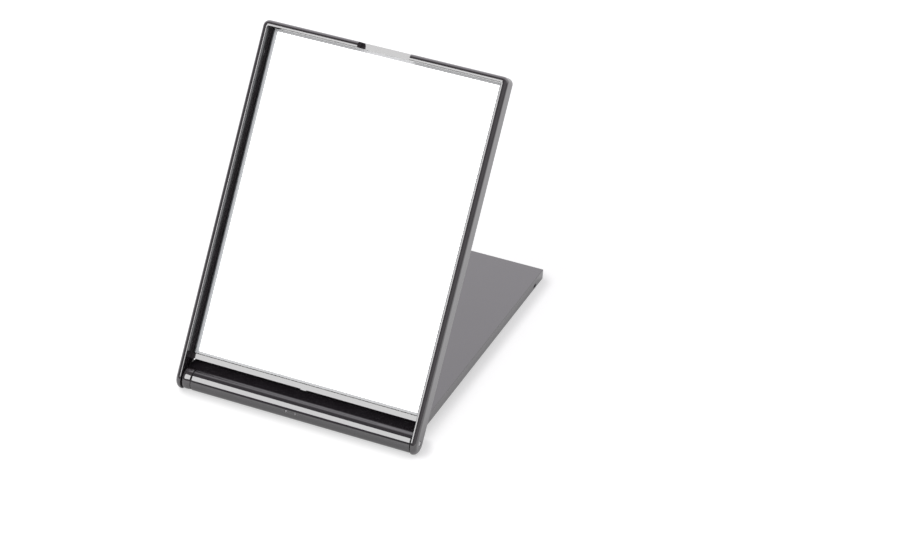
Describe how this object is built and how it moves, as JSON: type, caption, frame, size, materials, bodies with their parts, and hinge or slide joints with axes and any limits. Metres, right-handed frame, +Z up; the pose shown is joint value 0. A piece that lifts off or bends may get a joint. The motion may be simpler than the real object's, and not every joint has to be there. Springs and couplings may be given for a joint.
{
  "type": "folding makeup mirror",
  "caption": "Rectangular folding table mirror: glass in a shallow black tray whose hinged cover swings behind it to form the stand, or nests over the glass when shut.",
  "frame": {"origin": "on the table, under the middle of the standing mirror's bounding box", "axes": "+Z up, +X to the right of a person who looks into the glass, +Y behind the mirror"},
  "size_m": [0.1, 0.142, 0.1263],
  "materials": {
    "case_gloss": "polished",
    "silvered_glass": "polished",
    "tape_foam": "matte",
    "pin_steel": "ground",
    "cover_gloss": "semi-gloss",
    "liner_satin": "satin"
  },
  "bodies": {
    "stand_cover": {"cover_shell": "cover_gloss", "cover_liner": "liner_satin"},
    "mirror_leaf": {"mirror_case": "case_gloss", "mirror_glass": "silvered_glass", "glass_tape": "tape_foam", "hinge_pin_left": "pin_steel", "hinge_pin_right": "pin_steel", "hinge_bush": "case_gloss"}
  },
  "joints": [
    {"name": "mirror_fold", "type": "hinge", "parent": "stand_cover", "child": "mirror_leaf", "pos_m": [0, -0.06643, 0.0046], "axis": [1, 0, 0], "range_deg": [0, 299]}
  ]
}
